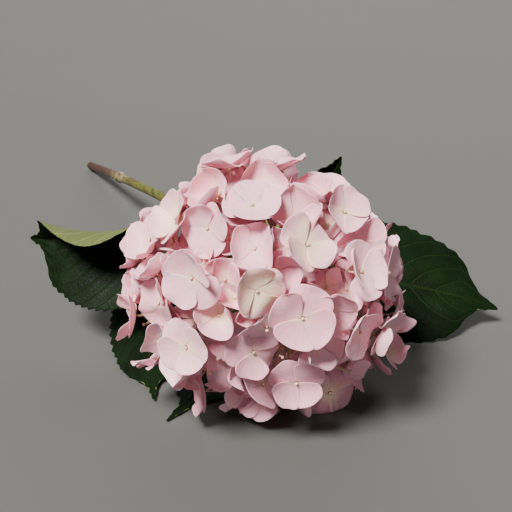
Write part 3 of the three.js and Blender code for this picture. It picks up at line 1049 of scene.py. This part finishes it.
def sepal_shape(floret, quarter):
    """Returns the function that bends a flat round sepal into its place on the floret."""
    first = Draw.SEPAL_SHAPE + 8 * quarter
    draws = [chance(floret.index, kind) for kind in range(first, first + 5)]
    longer, wider, turned, bent, curled = draws
    radius = floret.radius
    length = radius * (0.98 + 0.10 * longer)
    half_width = radius * (0.67 + 0.09 * wider)
    turn = math.radians(45 + 90 * quarter + 14 * (turned - 0.5))
    along = floret.across * math.cos(turn) + floret.up * math.sin(turn)
    beside = floret.up * math.cos(turn) - floret.across * math.sin(turn)
    own_bend = 0.78 * bent**1.5 - 0.2
    own_bend *= 1 - 0.6 * ease(floret.normal.z, 0.5, 1)
    curve = 2 * (floret.cup + own_bend) / radius + 1e-3
    tuck = SEPAL_TUCK if chance(floret.index, Draw.TUCK) > 0.5 else -SEPAL_TUCK
    tip_curl = 0.12 * curled - 0.02
    seed = floret.index * 7.31 + quarter * 3.17

    def bend(x, y):
        share = (y + 1) / 2
        neck = SEPAL_NECK + (1 - SEPAL_NECK) * ease(share, 0, 0.42)
        out = SEPAL_START * radius + length * share
        side = half_width * x * neck
        reach = math.hypot(out, side * 0.7)
        flat = math.sin(curve * reach) / curve / reach
        rise = (1 - math.cos(curve * reach)) / curve
        rim = x * x + y * y
        waves = noise.noise(Vector((x * 1.4, y * 1.4, seed)))
        waves += 0.35 * noise.noise(Vector((x * 3.1, y * 3.1, seed + 40)))
        rise += radius * (
            tuck * x * neck
            + SEPAL_TROUGH * (x * x - 0.3) * share
            + SEPAL_WAVE * waves * (0.25 + 0.75 * rim) * share
            - tip_curl * ease(share, 0.65, 1.05)
        )
        place = floret.centre + along * (out * flat) + beside * side + floret.normal * rise
        place = tuck_under(stand_up(place, floret), floret)
        return rest_on_floor(place, quarter % 2)

    return bend


def add_sepal(bm, floret, quarter, thickness, layers):
    """One sepal as a thin closed shell, face and back."""
    surface, tint, warmth = layers
    grid = bmesh.ops.create_grid(bm, x_segments=SEPAL_CELLS, y_segments=SEPAL_CELLS, size=1)
    bend = sepal_shape(floret, quarter)
    for vert in grid["verts"]:
        x = vert.co.x * math.sqrt(1 - vert.co.y**2 / 2)
        y = vert.co.y * math.sqrt(1 - vert.co.x**2 / 2)
        for loop in vert.link_loops:
            loop[surface].uv = (x / 2 + 0.5, y / 2 + 0.5)
        own_tint = SEPAL_TINT_SPREAD * chance(floret.index, Draw.SEPAL_TINT + quarter)
        vert[tint] = floret.tint + own_tint
        vert[warmth] = floret.warmth
        vert.co = bend(x, y)
    faces = list(dict.fromkeys(face for vert in grid["verts"] for face in vert.link_faces))
    make_shell(bm, faces, thickness)


def add_bead(bm, floret, diameter):
    """The four-lobed bud at the centre of a floret."""
    sphere = bmesh.ops.create_icosphere(bm, subdivisions=1, radius=1)
    radius = diameter / 2
    for vert in sphere["verts"]:
        x, y, z = vert.co
        lobes = 1 + 0.14 * math.cos(4 * math.atan2(y, x)) * (1 - z * z)
        outwards = (floret.across * x + floret.up * y) * lobes + floret.normal * (z * 0.8)
        vert.co = floret.centre + floret.normal * (radius * 0.75) + outwards * radius
        for face in vert.link_faces:
            face.material_index = 2


def add_stalk(bm, sprig, floret, diameter):
    """The thin stalk from a sprig's fork to the back of a floret."""
    reach = (floret.centre - sprig.fork).length
    corners = (
        sprig.fork,
        sprig.fork + sprig.direction * (reach * 0.35),
        floret.centre - floret.normal * (reach * 0.35),
        floret.centre,
    )

    def radius(share, _angle):
        return diameter / 2 * (1.15 - 0.35 * share + 0.8 * ease(share, 0.86, 1))

    add_rod(bm, lambda share: bezier(corners, share)[0], radius, 6, 6, material=3)


def build_sprig(sprig, sizes):
    """One sprig: the sepals, beads and stalks of its florets."""
    bm = bmesh.new()
    layers = (
        bm.loops.layers.uv.new("surface"),
        bm.verts.layers.float.new("tint"),
        bm.verts.layers.float.new("warmth"),
    )
    for floret in sprig.florets:
        for quarter in range(4):
            add_sepal(bm, floret, quarter, sizes.thickness, layers)
        add_bead(bm, floret, sizes.bead)
        add_stalk(bm, sprig, floret, sizes.stalk)
    return bm


def add_limb(bm, start, end, radii, bend):
    """A tapered branch that leaves its start in one direction and curves to its end."""
    reach = (end - start).length
    corners = (start, start + bend * (reach * 0.4), blend(start, end, 0.7), end)

    def radius(share, _angle):
        return blend(*radii, share) * (1 + 0.15 * bump(share, 0, 0.12))

    add_rod(bm, lambda share: bezier(corners, share)[0], radius, 8, 8)


def build_branches(head, sprigs, ends):
    """The hub, its main branches and the sprigs' own branches."""
    bm = bmesh.new()
    bmesh.ops.create_icosphere(
        bm, subdivisions=3, radius=HUB_DIAMETER / 2, matrix=Matrix.Translation(head.hub)
    )
    for end in ends:
        outward = (end - head.hub).normalized()
        add_limb(bm, head.hub, end, MAIN_RADII, outward)
        knot = Matrix.Translation(end)
        bmesh.ops.create_icosphere(bm, subdivisions=2, radius=MAIN_RADII[0], matrix=knot)
    for sprig in sprigs:
        back = (sprig.origin - sprig.fork).normalized()
        stop = sprig.fork + back * (FORK_KNOB / 2 + CLEARANCE)
        outward = (sprig.origin - head.hub).normalized()
        add_limb(bm, sprig.origin, stop, SIDE_RADII, outward)
    return bm


# ---- Leaves ------------------------------------------------------------------------------
# The outline draws in to a long tip, and the teeth fade in near the margin.
TIP_START = 0.78
TIP_END = 0.92
TIP_DRAWN_IN = 0.62
MARGIN_START = 0.88

# The relief of the upper face, and the grid that carries it.
QUILT_HEIGHT = 0.9 * MM
VALLEY_DEPTH = 0.9 * MM
WAVE_HEIGHT = 1.6 * MM
CELLS_PER_TOOTH = 5
CELLS_ACROSS = 24

# The stalk's share of its route, and the rib that it becomes on the back of the blade.
STALK_SHARE = 0.3
RIB_WIDTH = 0.36
RIB_TIP = 0.22 * MM
RIB_DEPTH = 1.3 * MM
RIB_OVERLAP = 0.7


def leaf_outline(share):
    """Half the width of a blade along its midrib, as a share of its widest."""
    body = 2.72 * share**0.65 * (1 - share) ** 0.8
    return body * (1 - TIP_DRAWN_IN * ease(share, TIP_START, TIP_END))


class Blade:
    """The surface of a leaf's blade."""

    def __init__(self, leaf, sizes):
        self.leaf = leaf
        self.sizes = sizes
        self.spine = [mm(*corner) for corner in leaf["spine"]]
        self.across = Vector(leaf["across"])

    def frame(self, share):
        """The midrib's place, its direction, and the ways across the blade and out of it."""
        place, along = bezier(self.spine, share)
        across = (self.across - along * self.across.dot(along)).normalized()
        return place, along, across, along.cross(across)

    def half_width(self, share, side):
        """Midrib to margin, with the teeth cut into the margin."""
        full = self.leaf["width"] * MM / 2 * leaf_outline(share ** self.leaf["belly"])
        tooth = (share * self.sizes.teeth) % 1
        fade = ease(share, 0.02, 0.15) * (1 - ease(share, 0.94, 0.99))
        cut = self.sizes.tooth_depth * (1 - tooth**0.8) * fade
        near_margin = max(0, (abs(side) - MARGIN_START) / (1 - MARGIN_START))
        return max(full - cut * near_margin, self.sizes.petiole / 4)

    def point(self, share, side):
        """A point of the blade, with its quilting between the veins."""
        place, _, across, up = self.frame(share)
        half = self.half_width(share, side)
        bell = math.sin(math.pi * share) ** 2
        which = 0 if side > 0 else 1
        roll = math.radians(self.leaf["roll"][which]) * bell + 1e-4
        fold = math.radians(self.leaf["fold"][which])
        reach = abs(side)
        turned = fold + roll * reach
        outwards = (math.sin(turned) - math.sin(fold)) / roll
        upwards = (math.cos(fold) - math.cos(turned)) / roll
        aside = across if side > 0 else -across
        place = place + (aside * outwards + up * upwards) * half
        facing = up * math.cos(turned) - aside * math.sin(turned)
        place = place + facing * self.relief(share, side)
        place.z = max(place.z, self.leaf["bed"] * MM)
        return place

    def relief(self, share, side):
        """How far the surface stands up between the veins, and how it waves."""
        reach = abs(side)
        row = (share - VEIN_SLANT * reach - VEIN_CURVE * reach**2) * VEIN_ROWS + VEIN_PHASE
        off_vein = abs((row + 0.5) % 1 - 0.5) * 2
        quilt = QUILT_HEIGHT * ease(off_vein, 0, 0.75) * ease(reach, 0, 0.2) * (1 - reach**4)
        valley = -VALLEY_DEPTH * bump(reach, 0, 0.1)
        seed = Vector((share * 7, side * 2, self.leaf["width"]))
        wave = WAVE_HEIGHT * reach**2 * noise.noise(seed)
        return (quilt + valley + wave) * ease(share, 0, 0.12) * (1 - ease(share, 0.85, 1))


def petiole_route(blade, stem):
    """The leaf's stalk from the stem to the blade, and on along the back of the midrib."""
    leaf = blade.leaf
    side = Vector(leaf["side"])
    start = stem_point(stem, leaf["node"] * MM) + side * (stem.diameter / 4)
    base, along = bezier(blade.spine, 0)
    reach = (base - start).length
    corners = (start, start + side * (reach * 0.4), base - along * (reach * 0.35), base)

    def on_blade_share(share):
        return (share - STALK_SHARE) / (1 - STALK_SHARE)

    def rib(on_blade):
        return blend(blade.sizes.petiole * RIB_WIDTH, RIB_TIP, on_blade**0.7)

    def route(share):
        if share < STALK_SHARE:
            return bezier(corners, share / STALK_SHARE)[0]
        on_blade = on_blade_share(share) * 0.97
        place, _, _, up = blade.frame(on_blade)
        sunk = RIB_DEPTH + RIB_OVERLAP * rib(on_blade)
        place = place - up * (sunk * ease(on_blade, 0, 0.08))
        place.z = max(place.z, (leaf["bed"] - 0.4) * MM)
        return place

    def radius(share, _angle):
        flare = 0.9 * (1 - ease(share, 0, 0.06))
        if share < STALK_SHARE:
            return blade.sizes.petiole / 2 * (1 + flare - 0.2 * share / STALK_SHARE)
        return rib(on_blade_share(share))

    return route, radius


def build_leaf(leaf, sizes, stem):
    """One leaf: the toothed blade, glossy over pale, and its stalk."""
    bm = bmesh.new()
    surface = bm.loops.layers.uv.new("surface")
    blade = Blade(leaf, sizes)
    cells = sizes.teeth * CELLS_PER_TOOTH
    grid = bmesh.ops.create_grid(bm, x_segments=cells, y_segments=CELLS_ACROSS, size=0.5)
    for vert in grid["verts"]:
        share, side = vert.co.x + 0.5, 2 * vert.co.y
        share = min(max(share, 0), 1)
        for loop in vert.link_loops:
            loop[surface].uv = (share, side / 2 + 0.5)
        vert.co = blade.point(share, side)
    make_shell(bm, bm.faces[:], sizes.thickness)
    route, radius = petiole_route(blade, stem)
    add_rod(bm, route, radius, 60, 8, material=2)
    return bm


# ---- Operators ---------------------------------------------------------------------------
# Name, share of the key light's strength, spread in degrees, source and colour.
LAMPS = (
    ("key_light", 1, 18, (-0.62, -0.38, 1.0), (1.0, 0.97, 0.94)),
    ("back_light", 0.12, 50, (0.5, 0.9, 0.7), (1.0, 0.98, 0.96)),
)
TABLE_SIZE = 6

# The camera's place from the plant's origin, the way it looks, and its lens and sensor in
# millimetres.
CAMERA_PLACE = mm(-222.67, -550.54, 370.21)
CAMERA_AIM = Vector((0.33353, 0.84671, -0.41455))
CAMERA_LENS = 77.34
SENSOR_WIDTH = 36


class HYDRANGEA_OT_sprigs(bpy.types.Operator):
    """Adds the sprigs of florets that make up the flower head"""

    bl_idname = "hydrangea.add_sprigs"
    bl_label = "Sprigs"

    def execute(self, context):
        scene = context.scene
        sizes = scene.hydrangea_florets
        head = Head(scene.hydrangea_head, scene.hydrangea_stem)
        florets = place_florets(head, sizes)
        sprigs = gather_sprigs(head, florets)
        route_sprigs(head, sprigs, main_ends(head))
        inner = place_inner_florets(head, sizes, florets)
        for floret in inner:
            nearest = max(sprigs, key=lambda sprig: sprig.direction.dot(floret.outward))
            nearest.florets.append(floret)
        find_neighbours(florets + inner)
        for floret in inner:
            floret.centre = tuck_under(floret.centre, floret)
        finishes = (
            sepal_finish("sepal_face", sizes, 0.0, 0.35),
            # The backs' finish is pinker: painted shade of the crevices between the florets.
            sepal_finish("sepal_back_painted_shade", sizes, 0.28, 0.6),
            bead_finish(sizes),
            stalk_finish("floret_stalk", (0.55, 0.45, 0.24, 1), (0.72, 0.45, 0.40, 1)),
        )
        for number, sprig in enumerate(sprigs, start=1):
            piece = new_piece(f"sprig_{number:02d}", build_sprig(sprig, sizes), finishes)
            place_piece(piece, f"floret_sprig_{number:02d}")
        return {"FINISHED"}


class HYDRANGEA_OT_branches(bpy.types.Operator):
    """Adds the branches inside the flower head"""

    bl_idname = "hydrangea.add_branches"
    bl_label = "Branches"

    def execute(self, context):
        scene = context.scene
        head = Head(scene.hydrangea_head, scene.hydrangea_stem)
        sprigs = gather_sprigs(head, place_florets(head, scene.hydrangea_florets))
        ends = main_ends(head)
        route_sprigs(head, sprigs, ends)
        finish = stalk_finish("branch", (0.40, 0.42, 0.17, 1), (0.60, 0.50, 0.28, 1))
        piece = new_piece("head_branches", build_branches(head, sprigs, ends), (finish,))
        place_piece(piece, "flower_branches")
        return {"FINISHED"}


class HYDRANGEA_OT_leaves(bpy.types.Operator):
    """Adds the five leaves"""

    bl_idname = "hydrangea.add_leaves"
    bl_label = "Leaves"

    def execute(self, context):
        scene = context.scene
        sizes = scene.hydrangea_leaves
        finishes = (
            glossy_leaf_finish(sizes),
            pale_leaf_finish(sizes),
            stalk_finish("petiole", (0.13, 0.19, 0.05, 1), (0.24, 0.28, 0.09, 1)),
        )
        for node, leaf in LEAVES.items():
            mesh = build_leaf(leaf, sizes, scene.hydrangea_stem)
            piece = new_piece(leaf["piece"], mesh, finishes)
            place_piece(piece, node)
        return {"FINISHED"}


class HYDRANGEA_OT_stem(bpy.types.Operator):
    """Adds the stem"""

    bl_idname = "hydrangea.add_stem"
    bl_label = "Stem"

    def execute(self, context):
        stem = context.scene.hydrangea_stem
        finishes = (
            stem_finish(stem),
            cut_finish("cut_wood", (0.50, 0.36, 0.20, 1), (0.26, 0.15, 0.08, 1)),
            cut_finish("cut_pith", (0.80, 0.72, 0.55, 1), (0.55, 0.44, 0.30, 1)),
        )
        piece = new_piece("woody_stem", build_stem(stem), finishes)
        place_piece(piece, "stem")
        return {"FINISHED"}


class HYDRANGEA_OT_stage(bpy.types.Operator):
    """Adds the table, the lights and the camera"""

    bl_idname = "hydrangea.add_stage"
    bl_label = "Stage"

    def execute(self, context):
        scene = context.scene
        stage = scene.hydrangea_stage
        self.add_floor(stage)
        for name, share, spread, source, colour in LAMPS:
            self.add_light(scene, name, stage.key * share, spread, source, colour)
        self.add_world(scene, stage)
        self.add_camera(scene)
        return {"FINISHED"}

    def add_floor(self, stage):
        """A wide plain table top."""
        bm = bmesh.new()
        bmesh.ops.create_grid(bm, x_segments=1, y_segments=1, size=TABLE_SIZE)
        look = Finish("table_top", Roughness=0.75)
        mottle = look.noise(look.coordinates(), 3)
        look.colour(look.mix(mottle, rgba(stage.floor, 0.95), rgba(stage.floor, 1.05)))
        return new_piece("table_top", bm, (look.material,))

    def add_light(self, scene, name, strength, spread, source, colour):
        """Even light over the whole table, softened by its spread in degrees."""
        lamp = bpy.data.lights.new(name, "SUN")
        lamp.energy = strength
        lamp.angle = math.radians(spread)
        lamp.color = colour
        holder = bpy.data.objects.new(name, lamp)
        holder.rotation_euler = (-Vector(source)).to_track_quat("-Z", "Y").to_euler()
        scene.collection.objects.link(holder)

    def add_world(self, scene, stage):
        """Even light from all round."""
        world = bpy.data.worlds.new("room")
        world.use_nodes = True
        background = world.node_tree.nodes["Background"]
        background.inputs["Color"].default_value = (0.92, 0.95, 1.0, 1)
        background.inputs["Strength"].default_value = stage.fill
        scene.world = world

    def add_camera(self, scene):
        """The camera, in front of the head, to its left and above it."""
        lens = bpy.data.cameras.new("camera")
        lens.lens = CAMERA_LENS
        lens.sensor_width = SENSOR_WIDTH
        lens.clip_start = 0.01
        camera = bpy.data.objects.new("camera", lens)
        camera.location = PLANT_ORIGIN + CAMERA_PLACE
        camera.rotation_euler = CAMERA_AIM.to_track_quat("-Z", "Y").to_euler()
        scene.collection.objects.link(camera)
        scene.camera = camera


OPERATORS = (
    HYDRANGEA_OT_sprigs,
    HYDRANGEA_OT_branches,
    HYDRANGEA_OT_leaves,
    HYDRANGEA_OT_stem,
    HYDRANGEA_OT_stage,
)
SETTINGS = {
    "hydrangea_head": HeadSettings,
    "hydrangea_florets": FloretSettings,
    "hydrangea_leaves": LeafSettings,
    "hydrangea_stem": StemSettings,
    "hydrangea_stage": StageSettings,
}


class HYDRANGEA_PT_panel(bpy.types.Panel):
    """Lists the plant's pieces and their settings"""

    bl_label = "Hydrangea"
    bl_space_type = "VIEW_3D"
    bl_region_type = "UI"
    bl_category = "Hydrangea"

    def draw(self, context):
        for operator in OPERATORS:
            self.layout.operator(operator.bl_idname)
        for name, group in SETTINGS.items():
            box = self.layout.box()
            box.label(text=group.__doc__)
            for setting in group.__annotations__:
                box.prop(getattr(context.scene, name), setting)


def register():
    """Registers the settings, the operators and the panel."""
    for name, group in SETTINGS.items():
        bpy.utils.register_class(group)
        setattr(bpy.types.Scene, name, bpy.props.PointerProperty(type=group))
    for operator in OPERATORS:
        bpy.utils.register_class(operator)
    bpy.utils.register_class(HYDRANGEA_PT_panel)


def unregister():
    """Removes them again."""
    bpy.utils.unregister_class(HYDRANGEA_PT_panel)
    for operator in reversed(OPERATORS):
        bpy.utils.unregister_class(operator)
    for name, group in SETTINGS.items():
        delattr(bpy.types.Scene, name)
        bpy.utils.unregister_class(group)


def main():
    """Builds the hydrangea and its stage."""
    register()
    bpy.ops.hydrangea.add_sprigs()
    bpy.ops.hydrangea.add_branches()
    bpy.ops.hydrangea.add_leaves()
    bpy.ops.hydrangea.add_stem()
    bpy.ops.hydrangea.add_stage()


if __name__ == "__main__":
    main()
